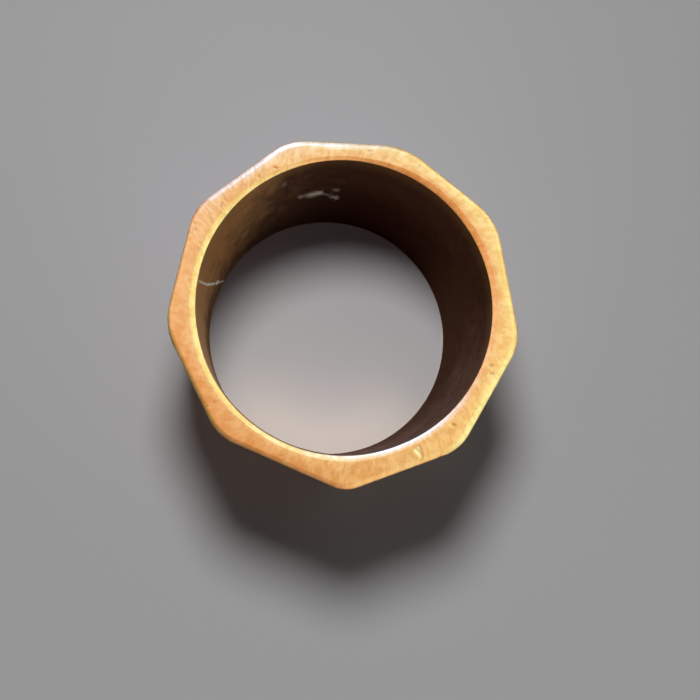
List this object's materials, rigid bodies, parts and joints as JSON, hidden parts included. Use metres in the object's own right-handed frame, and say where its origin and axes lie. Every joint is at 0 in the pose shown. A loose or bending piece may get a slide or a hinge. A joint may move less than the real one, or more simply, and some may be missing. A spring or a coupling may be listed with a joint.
{
  "type": "statement ring",
  "caption": "Wide finger ring with flat facets outside, soft corners and a plain round bore.",
  "frame": {"origin": "centre of the finger bore, midway between the two end faces", "axes": "+Z along the bore, up from the end face that the ring lies on; the first flat faces 9 degrees from +X towards +Y"},
  "size_m": [0.0214, 0.0213, 0.013],
  "materials": {
    "gilt_bronze": "worn satin gold-bronze, finely pitted, dark patina inside the bore"
  },
  "bodies": {
    "root": {"band": "gilt_bronze"}
  },
  "joints": []
}
